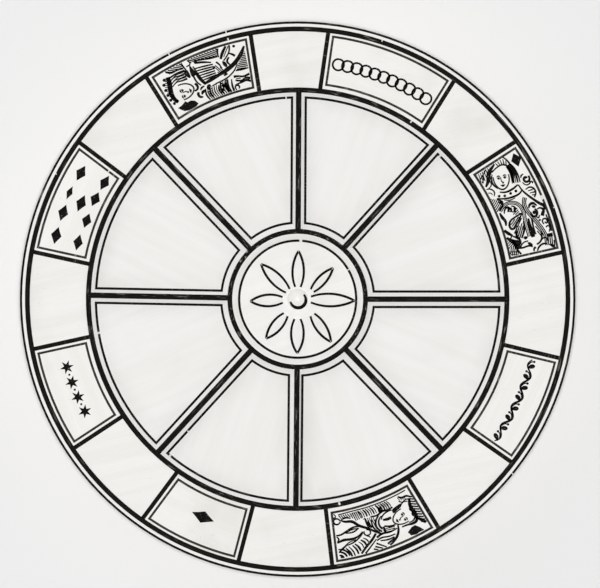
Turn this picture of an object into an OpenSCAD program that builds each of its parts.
// Revolving pope joan board: a round tray of eight wells that turns on a low turned stand.
// The tray's pieces are set out from the middle of the floor board's top, the deck.

/* [Tray] */
// Diameter of the tray over its edge bead
tray_d = 279.5; // [260:0.5:320]
// Thickness of the floor board
floor_t = 6; // [4:0.5:10]
// Height of the hoops and partitions above the floor board
wall_h = 12; // [10:0.5:20]
// How far the hoops and partitions stand above the rim board
wall_proud = 0.4; // [0.2:0.1:1]
// Thickness of the three black hoops
hoop_t = 2.35; // [2:0.05:4]
// Arris taken off the tops of the hoops and partitions
arris = 0.35; // [0.1:0.05:0.6]
// Width of the label rim between its two hoops
rim_w = 28.3; // [24:0.1:34]

/* [Edge moulding] */
// Width of the moulding outside the outer hoop
edge_w = 2.6; // [2.5:0.1:5]
// Width of the black bead on the moulding's top edge
bead_w = 1.1; // [0.8:0.05:1.6]
// Height of the black bead
bead_h = 2.4; // [1.5:0.1:4]
// Depth of the moulding's hollow, and the radius of the coves at its ends
hollow_d = 1.5; // [0.8:0.1:1.9]
// Height of the band above the hollow, bead included
top_band = 4; // [3.5:0.1:5]
// Height of the band below the hollow
low_band = 3; // [2:0.1:4]

/* [Partitions] */
// Thickness of the partitions
partition_t = 2.7; // [2:0.1:4]
// Angles of the eight partitions, spaced by hand
partition_angle = [0, 47.9, 89.7, 133.5, 178.9, 227.6, 269.5, 313.8]; // [0:0.1:360]
// Depth of the housings in the hoops that take the partitions' ends
housing = 1.2; // [0.6:0.1:1.6]

/* [Wells] */
// Thickness of the linings on the well floors
lining_t = 1.2; // [1:0.1:2]
// Width at the foot of the sloping fillets along the hub
fillet_hub_w = 2.6; // [1.2:0.1:3]
// Width at the foot of the sloping fillets along the rim
fillet_rim_w = 1.9; // [1.2:0.1:3]
// Widths at the foot of the fillets along each well's first partition, planed by hand
fillet_first_w = [1.9, 1.5, 1.4, 2.5, 1.8, 1.9, 0.8, 1.8]; // [0.8:0.1:3.2]
// Widths at the foot of the fillets along each well's second partition
fillet_second_w = [1.4, 1.6, 2.1, 1.6, 1.8, 2.1, 3, 2]; // [0.8:0.1:3.2]
// Width of the flat on top of the fillets
fillet_land = 0.4; // [0.2:0.1:0.6]
// Height of the fillets
fillet_h = 0.6; // [0.5:0.1:3]

/* [Stringing] */
// Width of the fine black lines in the wells
line_w = 1.2; // [0.8:0.1:1.6]
// Width of the fine black line in the hub's dish
hub_line_w = 1.3; // [0.8:0.1:2]
// Width of the labels' black frame lines
frame_w = 1.15; // [0.8:0.05:1.6]
// Depth of the fine black lines
line_depth = 0.7; // [0.4:0.05:0.8]

/* [Labels] */
// Angles of the middles of the eight labels, spaced by hand
label_mid_angle = [23, 68.8, 112.4, 157.3, 202.1, 246.2, 289.6, 334.9]; // [0:0.1:360]
// Angles that the eight labels span, between the middles of their end strips
label_span_angle = [26.5, 29.7, 24.3, 25.6, 23.2, 22.6, 24.2, 25]; // [18:0.1:32]
// Angles by which the labels' first end strips lean from their radii
label_first_lean_angle = [2.9, 4.1, -1.5, -1.6, 1.9, -1.5, -0.9, 2.7]; // [-5:0.1:5]
// Angles by which the labels' second end strips lean from their radii
label_second_lean_angle = [-3.2, -1.8, -2.5, -2.4, -0.4, -2.3, -0.6, -0.8]; // [-5:0.1:5]
// Thickness of the label plates
label_t = 1.1; // [0.9:0.1:1.5]
// Width of the black strips at the labels' ends
divider_w = 2.1; // [1:0.05:2.5]
// Depth of the black strips
divider_depth = 1.6; // [1.2:0.1:2.5]
// Margin between the inner hoop and a label's frame line
margin_in = 1.7; // [0.8:0.1:2.5]
// Margin between a label's frame line and the outer hoop
margin_out = 1; // [0.6:0.1:2.5]
// Margin between an end strip and a label's frame line
margin_end = 1.1; // [0.6:0.1:2.5]

/* [Hub] */
// Diameter of the hub over its hoop
hub_d = 70.6; // [64:0.1:80]
// Width of the dish's sloping side
dish_w = 2.5; // [1.5:0.05:4]
// Depth of the dish
dish_h = 1.4; // [1.1:0.1:3.5]
// Flat left round the dish
dish_land = 0.3; // [0.2:0.1:0.8]

/* [Rosette] */
// Angles of the middles of the eight carved leaves, set out by hand
petal_angle = [-1.5, 38.5, 89, 137, 182.5, 231.5, 269.5, 309.5]; // [-5:0.5:360]
// Angles by which the leaves lean from their radii
petal_lean_angle = [0, 9, 0, -2, 0, -1, 0, -5]; // [-10:1:10]
// Gaps between the leaves' tips and the line in the dish
petal_gap = [0.3, 5.1, 4.6, 3.4, 5.1, 3.5, 1.7, 1.6]; // [0.3:0.1:8]
// Gaps between the pivot button and the leaves' roots
petal_clear = [1, 2.8, 0.5, 0.9, 2, 4.3, 4.4, 5.2]; // [0.5:0.1:6]
// Widths of the leaves
petal_w = [6.3, 4.3, 5.7, 5.6, 5.8, 5.2, 6.3, 5]; // [3.5:0.1:7]
// Share of a leaf's width left at its root, where it's cut off square
petal_root = 0.4; // [0.2:0.05:0.6]
// Height of a leaf at its midrib
petal_h = 1; // [0.6:0.1:2]
// Height of a leaf at its edge
petal_edge_h = 0.4; // [0.2:0.05:0.5]

/* [Pivot] */
// Diameter of the steel spindle
spindle_d = 6; // [5:0.1:8]
// Running clearance of the spindle in its bush, on the radius
run_gap = 0.05; // [0.02:0.01:0.1]
// Wall of the bush
bush_wall = 2; // [1.5:0.1:4]
// Diameter of the bush's flange
flange_d = 40; // [30:1:46]
// Thickness of the bush's flange
flange_t = 1.6; // [1.2:0.1:2.5]
// Diameter of the thrust washer
washer_d = 44; // [34:1:52]
// Thickness of the thrust washer
washer_t = 1.2; // [0.8:0.1:2]
// How far the spindle goes down into the pillar
spindle_seat = 15; // [10:0.5:15]
// Play of the tray between the thrust washer and the button
end_play = 0.3; // [0.2:0.05:0.6]
// Clearance of the spindle in the hub disc, on the radius
hub_hole_gap = 0.3; // [0.2:0.05:0.5]
// Diameter of the pivot button
button_d = 10.4; // [8.5:0.1:12]
// Height of the button's straight collar
button_collar = 1.1; // [0.6:0.1:2]
// Height of the button's dome
button_dome = 2.8; // [2.4:0.1:4]
// Diameter of the spindle's tip in the button
tip_d = 3.6; // [2.5:0.1:4]
// Length of the spindle's tip
tip_l = 2.2; // [1.5:0.1:2.2]

/* [Boss] */
// Diameter of the boss under the floor board
boss_d = 84; // [76:1:100]
// Height of the boss
boss_h = 10; // [8:0.5:16]
// Radius of the cove round the boss's lower edge
boss_cove = 6; // [3:0.5:7]
// Gap between the boss and the plane that the tray turns on
boss_gap = 0.8; // [0.5:0.1:1.1]

/* [Stand] */
// Thickness of the baize pad
pad_t = 1.5; // [1:0.1:3]
// How far the pad's edge is kept in from the foot's edge
pad_inset = 5; // [2:0.5:10]
// Diameter of the foot
foot_d = 150; // [130:1:180]
// Height of the foot
foot_h = 14; // [13:0.5:20]
// Height of the straight band round the foot
foot_band = 3; // [2:0.5:4]
// Radius of the quarter round above the band
foot_round = 5; // [3:0.5:5]
// Width of the flat above the quarter round
foot_quirk = 1.5; // [1:0.1:3]
// Height of the step inside that flat
foot_step = 0.8; // [0.5:0.1:1]
// Width of the flat on the foot round the pillar
foot_seat_w = 1.5; // [0.5:0.1:4]
// Height of the pillar from the foot to its cap
pillar_h = 22; // [20:0.5:40]
// Diameter of the pillar's base
pillar_base_d = 52; // [48:1:64]
// Height of the pillar's base
pillar_base_h = 3; // [2:0.5:5]
// Diameter of the pillar's cap
pillar_cap_d = 62; // [56:1:70]
// Height of the pillar's cap
pillar_cap_h = 3.5; // [2:0.5:5]
// Diameter of the fillets above the base and below the cap
pillar_neck_d = 46; // [42:0.5:47]
// Height of those fillets
pillar_neck_h = 1.4; // [0.8:0.1:2]
// Diameter of the pillar's waist
waist_d = 33; // [28:0.5:36]
// Width of the ledges between the fillets and the waist's hollow
waist_ledge = 2.5; // [1:0.1:3]
// Diameter of the pillar's tenon
tenon_d = 20; // [16:0.5:24]
// Length of the pillar's tenon
tenon_l = 8; // [6:0.5:8]

/* [Screws] */
// Diameter of the screws' shanks
screw_d = 3.6; // [3:0.1:4]
// Diameter of the screws' heads
screw_head_d = 7; // [6:0.1:8]
// Width of the slots in the screws' heads
screw_slot_w = 0.9; // [0.6:0.1:1.2]
// Depth of the slots in the screws' heads
screw_slot_h = 0.8; // [0.5:0.1:1]
// How far the screws bite into the last piece that they reach
screw_bite = 5; // [3:0.5:6]
// Length of the screws' points
screw_point = 2; // [1:0.1:2.5]
// Number of boss screws
boss_screw_n = 4; // [3:1:6]
// Number of floor screws
floor_screw_n = 8; // [6:1:12]

/* [Fits] */
// Clearance of glued and inlaid joints
fit = 0.05; // [0.02:0.01:0.1]

/* [Hidden] */
$fn = 128;
// Overlap of a cut past the face that it opens
over = 1;
wells = len(partition_angle);
labels = len(label_mid_angle);

// Radii of the tray, from its edge inwards
tray_r = tray_d / 2;
hoop_r = tray_r - edge_w;
rim_out_r = hoop_r - hoop_t;
rim_in_r = rim_out_r - rim_w;
well_r = rim_in_r - hoop_t;
hub_r = hub_d / 2;
disc_r = hub_r - hoop_t;
dish_r = disc_r - dish_land - dish_w;
rim_mid_r = (rim_in_r + rim_out_r) / 2;

// Radii of the stand and the pivot
foot_r = foot_d / 2;
spindle_r = spindle_d / 2;
bush_r = spindle_r + run_gap + bush_wall;
boss_r = boss_d / 2;
button_r = button_d / 2;
// The boss screws go halfway between the bush's flange and the hub disc's edge
boss_screw_r = (flange_d / 2 + disc_r) / 2;

// Heights, from the table upwards
foot_z = pad_t;
seat_z = foot_z + foot_h;
cap_z = seat_z + pillar_h;
turn_z = cap_z + washer_t;
boss_z = turn_z + boss_gap;
floor_z = boss_z + boss_h;
deck_z = floor_z + floor_t;
wall_z = deck_z + wall_h;
rim_z = wall_z - wall_proud;
well_z = deck_z + lining_t;
dish_z = rim_z - dish_h;
button_z = dish_z + end_play;

// Lengths of the screws
foot_screw_l = foot_h - tenon_l + screw_bite;
boss_screw_l = boss_h + floor_t + screw_bite;
floor_screw_l = floor_t + screw_bite;

holly = [0.93, 0.91, 0.86];
bone = [0.95, 0.93, 0.88];
ebony = [0.09, 0.08, 0.07];
brass = [0.78, 0.62, 0.3];
steel = [0.62, 0.63, 0.65];
baize = [0.16, 0.34, 0.22];

LABEL_NAMES = ["queen", "matrimony", "king", "pope", "game", "ace", "knave", "intrigue"];

// Angle between the two partitions of well k
function well_span(k) =
  (k + 1 < wells ? partition_angle[k + 1] : partition_angle[0] + 360) - partition_angle[k];

// Distance of a fillet's face from its wall, for its width at the foot and a height above it
function fillet_at(w, z) = w - (w - fillet_land) * z / fillet_h;

// Radius of the arc that rises by rise over run and starts level
function sweep_radius(run, rise) = (run * run + rise * rise) / (2 * rise);

// Flat round with a round hole
module annulus(r_in, r_out) {
  difference() {
    circle(r = r_out);
    circle(r = r_in);
  }
}

// Square-edged ring that stands on z
module ring(r_in, r_out, z, h) {
  translate([0, 0, z]) linear_extrude(h) annulus(r_in, r_out);
}

// Flat sector between two radii and two rays, kept back from the rays by two insets
module sector(r_in, r_out, from, to, insets) {
  side = [2 * r_out, 4 * r_out];
  intersection() {
    annulus(r_in, r_out);
    rotate(from) translate([0, insets[0]]) square(side);
    rotate(to) translate([0, -insets[1] - side[1]]) square(side);
  }
}

// Section of a wall with its top arrises taken off
module wall_section(t, h) {
  polygon([[0, 0], [t, 0], [t, h - arris], [t - arris, h], [arris, h], [0, h - arris]]);
}

// Black hoop that stands on z, with its outer face at r
module hoop(r, z, h) {
  translate([0, 0, z]) rotate_extrude() translate([r - hoop_t, 0]) wall_section(hoop_t, h);
}

// Upright cuts for the partitions' ends between two radii
module partition_housings(r_from, r_to) {
  for (a = partition_angle)
    rotate(a)
      translate([r_from, -partition_t / 2 - fit, deck_z - over])
        cube([r_to - r_from, partition_t + 2 * fit, wall_h + 2 * over]);
}

// Countersunk wood screw, or with a clearance its hole, with its head's face at the origin
module screw(length, gap = 0) {
  head_h = (screw_head_d - screw_d) / 2;
  cylinder(d1 = screw_head_d + 2 * gap, d2 = screw_d + 2 * gap, h = head_h);
  cylinder(d = screw_d + 2 * gap, h = length - screw_point);
  translate([0, 0, length - screw_point])
    cylinder(d1 = screw_d + 2 * gap, d2 = screw_d / 4 + 2 * gap, h = screw_point + gap);
}

// Screw with a slotted head
module slotted_screw(length) {
  difference() {
    screw(length);
    translate([-screw_head_d, -screw_slot_w / 2, -over])
      cube([2 * screw_head_d, screw_slot_w, over + screw_slot_h]);
  }
}

// Places of the boss screws, evenly round the boss
module boss_screw_places() {
  for (k = [0 : boss_screw_n - 1])
    rotate((k + 0.5) * 360 / boss_screw_n) translate([boss_screw_r, 0, boss_z]) children();
}

// Places of the floor screws, evenly round the middle of the rim
module floor_screw_places() {
  for (k = [0 : floor_screw_n - 1])
    rotate((k + 0.5) * 360 / floor_screw_n) translate([rim_mid_r, 0, floor_z]) children();
}

// Place of label k's first (-1) or second (1) end strip, which lies along x
module at_label_end(k, side) {
  lean = side < 0 ? label_first_lean_angle[k] : label_second_lean_angle[k];
  rotate(label_mid_angle[k] + side * label_span_angle[k] / 2)
    translate([rim_mid_r, 0, 0]) rotate(lean) translate([-rim_mid_r, 0, 0]) children();
}

// Flat outline of label k between two radii, kept back from the middles of its end strips
module label_outline(k, r_in, r_out, inset) {
  side = [2 * r_out, 4 * r_out];
  intersection() {
    annulus(r_in, r_out);
    at_label_end(k, -1) translate([0, inset]) square(side);
    at_label_end(k, 1) translate([0, -inset - side[1]]) square(side);
  }
}

// Outline of half the turned foot
module foot_profile() {
  ledge_h = foot_band + foot_round;
  ledge_r = foot_r - foot_round;
  sweep_out = ledge_r - foot_quirk;
  sweep_in = pillar_base_d / 2 + foot_seat_w;
  rise = foot_h - ledge_h - foot_step;
  arc_r = sweep_radius(sweep_out - sweep_in, rise);
  square([foot_r, foot_band]);
  square([ledge_r, ledge_h]);
  translate([ledge_r, foot_band]) intersection() {
    circle(r = foot_round);
    square(foot_round);
  }
  difference() {
    square([sweep_out, foot_h]);
    translate([sweep_out, ledge_h + foot_step + arc_r]) circle(r = arc_r, $fn = 512);
  }
}

// Outline of half the turned pillar above its tenon
module pillar_profile() {
  low = pillar_base_h + pillar_neck_h;
  high = pillar_h - pillar_cap_h - pillar_neck_h;
  half = (high - low) / 2;
  neck_r = pillar_neck_d / 2;
  depth = neck_r - waist_ledge - waist_d / 2;
  arc_r = sweep_radius(half, depth);
  square([pillar_base_d / 2, pillar_base_h]);
  translate([0, pillar_h - pillar_cap_h]) square([pillar_cap_d / 2, pillar_cap_h]);
  difference() {
    square([neck_r, pillar_h]);
    translate([waist_d / 2 + arc_r, low + half]) circle(r = arc_r);
    translate([neck_r - waist_ledge, low]) square([waist_ledge + over, high - low]);
  }
}

// Stand

module baize_pad() {
  color(baize) cylinder(r = foot_r - pad_inset, h = pad_t);
}

module foot() {
  color(holly) translate([0, 0, foot_z]) difference() {
    rotate_extrude() foot_profile();
    translate([0, 0, foot_h - tenon_l - fit]) cylinder(d = tenon_d + 2 * fit, h = tenon_l + over);
    screw(foot_screw_l, fit);
  }
}

module foot_screw() {
  color(steel) translate([0, 0, foot_z]) slotted_screw(foot_screw_l);
}

module pillar() {
  color(holly) difference() {
    union() {
      translate([0, 0, seat_z]) rotate_extrude() pillar_profile();
      translate([0, 0, seat_z - tenon_l]) cylinder(d = tenon_d, h = tenon_l + over);
    }
    translate([0, 0, cap_z - spindle_seat]) cylinder(r = spindle_r + fit, h = spindle_seat + over);
    translate([0, 0, foot_z]) screw(foot_screw_l, fit);
  }
}

module spindle() {
  color(steel) {
    translate([0, 0, cap_z - spindle_seat]) cylinder(r = spindle_r, h = button_z - cap_z + spindle_seat);
    translate([0, 0, button_z]) cylinder(d = tip_d, h = tip_l);
  }
}

module thrust_washer() {
  color(brass) ring(spindle_r + fit, washer_d / 2, cap_z, washer_t);
}

module pivot_button() {
  dome_r = sweep_radius(button_r, button_dome);
  color(bone) translate([0, 0, button_z]) difference() {
    rotate_extrude() intersection() {
      square([button_r, button_collar + button_dome]);
      translate([0, button_collar + button_dome - dome_r]) circle(r = dome_r);
    }
    translate([0, 0, -over]) cylinder(d = tip_d + 2 * fit, h = tip_l + fit + over);
  }
}

// Underside of the tray

module boss() {
  color(holly) translate([0, 0, boss_z]) difference() {
    rotate_extrude() difference() {
      square([boss_r, boss_h]);
      translate([boss_r, 0]) circle(r = boss_cove);
    }
    translate([0, 0, -over]) cylinder(r = bush_r + fit, h = boss_h + 2 * over);
    translate([0, 0, -over]) cylinder(d = flange_d + 2 * fit, h = flange_t - boss_gap + fit + over);
    translate([0, 0, -boss_z]) boss_screw_places() screw(boss_screw_l, fit);
  }
}

module boss_screws() {
  color(brass) boss_screw_places() slotted_screw(boss_screw_l);
}

module pivot_bush() {
  color(brass) difference() {
    union() {
      translate([0, 0, turn_z]) cylinder(d = flange_d, h = flange_t);
      translate([0, 0, turn_z]) cylinder(r = bush_r, h = deck_z - turn_z);
    }
    translate([0, 0, turn_z - over]) cylinder(r = spindle_r + run_gap, h = deck_z - turn_z + 2 * over);
  }
}

module floor_board() {
  color(holly) difference() {
    translate([0, 0, floor_z]) cylinder(r = rim_out_r - fit, h = floor_t);
    translate([0, 0, floor_z - over]) cylinder(r = bush_r + fit, h = floor_t + 2 * over);
    boss_screw_places() screw(boss_screw_l, fit);
    floor_screw_places() screw(floor_screw_l, fit);
  }
}

module floor_screws() {
  color(brass) floor_screw_places() slotted_screw(floor_screw_l);
}

// Rim and hoops

module outer_hoop() {
  color(ebony) hoop(hoop_r, floor_z, wall_z - floor_z);
}

module inner_hoop() {
  color(ebony) difference() {
    hoop(rim_in_r, deck_z, wall_h);
    partition_housings(well_r - over, well_r + housing + fit);
  }
}

module hub_hoop() {
  color(ebony) difference() {
    hoop(hub_r, deck_z, wall_h);
    partition_housings(hub_r - housing - fit, hub_r + over);
  }
}

module edge_moulding() {
  height = rim_z - floor_z;
  top = height - top_band;
  color(holly) translate([0, 0, floor_z]) rotate_extrude() translate([hoop_r, 0]) difference() {
    translate([fit, 0]) square([edge_w - fit, height]);
    translate([edge_w - bead_w - fit, height - bead_h - fit]) square([bead_w + over, bead_h + over]);
    translate([edge_w, low_band + hollow_d]) circle(r = hollow_d);
    translate([edge_w, top - hollow_d]) circle(r = hollow_d);
    translate([edge_w - hollow_d, low_band + hollow_d])
      square([hollow_d + over, top - low_band - 2 * hollow_d]);
  }
}

module edge_bead() {
  color(ebony) translate([0, 0, rim_z - bead_h]) rotate_extrude()
    translate([tray_r - bead_w, 0])
      polygon([[0, 0], [bead_w, 0], [bead_w, bead_h - arris], [bead_w - arris, bead_h], [0, bead_h]]);
}

module rim_board() {
  color(holly) difference() {
    ring(rim_in_r + fit, rim_out_r - fit, deck_z, rim_z - deck_z);
    for (k = [0 : labels - 1]) {
      translate([0, 0, rim_z - label_t - fit]) linear_extrude(label_t + over)
        label_outline(k, rim_in_r - over, rim_out_r + over, divider_w / 2);
      for (side = [-1, 1])
        at_label_end(k, side)
          translate([rim_in_r - over, -divider_w / 2 - fit, rim_z - divider_depth - fit])
            cube([rim_w + 2 * over, divider_w + 2 * fit, divider_depth + over]);
    }
    floor_screw_places() screw(floor_screw_l, fit);
  }
}

// Hub

module hub_disc() {
  slope = dish_w / dish_h;
  color(holly) difference() {
    translate([0, 0, deck_z]) cylinder(r = disc_r - fit, h = rim_z - deck_z);
    translate([0, 0, dish_z])
      cylinder(r1 = dish_r, r2 = dish_r + dish_w + slope * over, h = dish_h + over);
    ring(dish_r - hub_line_w - fit, dish_r - fit, dish_z - line_depth - fit, line_depth + over);
    translate([0, 0, deck_z - over]) cylinder(r = spindle_r + hub_hole_gap, h = wall_h);
    boss_screw_places() screw(boss_screw_l, fit);
  }
}

module hub_line() {
  color(ebony) ring(dish_r - hub_line_w, dish_r - 2 * fit, dish_z - line_depth, line_depth);
}

// Pointed leaf with a midrib along x, its root cut off square at the origin
module petal(length, width) {
  half_l = length / (1 + sqrt(1 - petal_root));
  half_w = width / 2;
  arc_r = sweep_radius(half_l, half_w);
  intersection() {
    translate([length - half_l, 0, 0]) linear_extrude(petal_h) intersection() {
      translate([0, half_w - arc_r]) circle(r = arc_r);
      translate([0, arc_r - half_w]) circle(r = arc_r);
    }
    rotate([90, 0, 90]) linear_extrude(length + over)
      polygon([
        [-half_w - over, 0], [half_w + over, 0],
        [half_w, petal_edge_h], [0, petal_h], [-half_w, petal_edge_h]
      ]);
  }
}

module rosette() {
  color(holly)
    for (k = [0 : len(petal_angle) - 1]) {
      root_r = button_r + petal_clear[k];
      length = dish_r - hub_line_w - petal_gap[k] - root_r;
      rotate(petal_angle[k]) translate([root_r + length / 2, 0, dish_z])
        rotate(petal_lean_angle[k]) translate([-length / 2, 0, 0]) petal(length, petal_w[k]);
    }
}

// Wells

module partition(k) {
  color(ebony) rotate(partition_angle[k])
    translate([hub_r - housing, -partition_t / 2, deck_z])
      rotate([90, 0, 90]) linear_extrude(well_r - hub_r + 2 * housing) wall_section(partition_t, wall_h);
}

// Place of well k, with its first partition along x
module at_well(k, z) {
  rotate(partition_angle[k]) translate([0, 0, z]) children();
}

// Flat outline of well k, kept in from its four walls
module well_outline(k, gap) {
  sector(hub_r + gap, well_r - gap, 0, well_span(k), [1, 1] * (partition_t / 2 + gap));
}

// Flat outline of the floor inside well k's fillets, kept in by an inset
module floor_outline(k, inset) {
  face = partition_t / 2 + inset;
  sector(
    hub_r + fillet_hub_w + inset, well_r - fillet_rim_w - inset,
    0, well_span(k), [face + fillet_first_w[k], face + fillet_second_w[k]]
  );
}

// Line along the foot of well k's fillets, with a clearance for its groove
module well_line(k, gap) {
  difference() {
    floor_outline(k, -gap);
    floor_outline(k, line_w + gap);
  }
}

module lining(k) {
  color(holly) at_well(k, deck_z) difference() {
    linear_extrude(lining_t) well_outline(k, fit);
    translate([0, 0, lining_t - line_depth - fit]) linear_extrude(line_depth + over) well_line(k, fit);
  }
}

module well_lines() {
  color(ebony) for (k = [0 : wells - 1])
    at_well(k, well_z - line_depth) linear_extrude(line_depth) well_line(k, 0);
}

// Space beside a partition that lies along x, with the slope of a fillet as its wall
module beside_partition(width) {
  low = -over;
  high = fillet_h + over;
  face = partition_t / 2;
  rotate([90, 0, 90]) linear_extrude(tray_r)
    polygon([
      [face + fillet_at(width, low), low], [tray_d, low],
      [tray_d, high], [face + fillet_at(width, high), high]
    ]);
}

// Space between the slopes of the fillets along the hub and the rim
module between_hoops() {
  low = -over;
  high = fillet_h + over;
  translate([0, 0, low]) difference() {
    cylinder(
      r1 = well_r - fillet_at(fillet_rim_w, low),
      r2 = well_r - fillet_at(fillet_rim_w, high), h = high - low
    );
    cylinder(
      r1 = hub_r + fillet_at(fillet_hub_w, low),
      r2 = hub_r + fillet_at(fillet_hub_w, high), h = high - low
    );
  }
}

module fillet(k) {
  color(holly) at_well(k, well_z) difference() {
    linear_extrude(fillet_h) well_outline(k, fit);
    intersection() {
      between_hoops();
      intersection() {
        beside_partition(fillet_first_w[k]);
        rotate(well_span(k)) mirror([0, 1, 0]) beside_partition(fillet_second_w[k]);
      }
    }
  }
}

// Labels

// Line round label k inside its margins, with a clearance for its groove
module label_line(k, gap) {
  edge = divider_w / 2 + margin_end;
  r_in = rim_in_r + margin_in;
  r_out = rim_out_r - margin_out;
  difference() {
    label_outline(k, r_in - gap, r_out + gap, edge - gap);
    label_outline(k, r_in + frame_w + gap, r_out - frame_w - gap, edge + frame_w + gap);
  }
}

module label(k) {
  color(bone) difference() {
    translate([0, 0, rim_z - label_t]) linear_extrude(label_t)
      label_outline(k, rim_in_r + fit, rim_out_r - fit, divider_w / 2 + fit);
    translate([0, 0, rim_z - line_depth - fit]) linear_extrude(line_depth + over) label_line(k, fit);
  }
}

module label_lines() {
  color(ebony) for (k = [0 : labels - 1])
    translate([0, 0, rim_z - line_depth]) linear_extrude(line_depth) label_line(k, 0);
}

module label_dividers() {
  color(ebony) intersection() {
    ring(rim_in_r + fit, rim_out_r - fit, rim_z - divider_depth, divider_depth);
    for (k = [0 : labels - 1], side = [-1, 1])
      at_label_end(k, side)
        translate([rim_in_r - over, -divider_w / 2, rim_z - divider_depth - over])
          cube([rim_w + 2 * over, divider_w, divider_depth + 2 * over]);
  }
}

baize_pad();
foot();
foot_screw();
pillar();
spindle();
thrust_washer();
pivot_button();
boss();
boss_screws();
pivot_bush();
floor_board();
floor_screws();
rim_board();
outer_hoop();
inner_hoop();
hub_hoop();
edge_moulding();
edge_bead();
hub_disc();
hub_line();
rosette();
well_lines();
label_lines();
label_dividers();
for (k = [0 : wells - 1]) {
  partition(k);
  lining(k);
  fillet(k);
}
for (k = [0 : labels - 1])
  label(k);
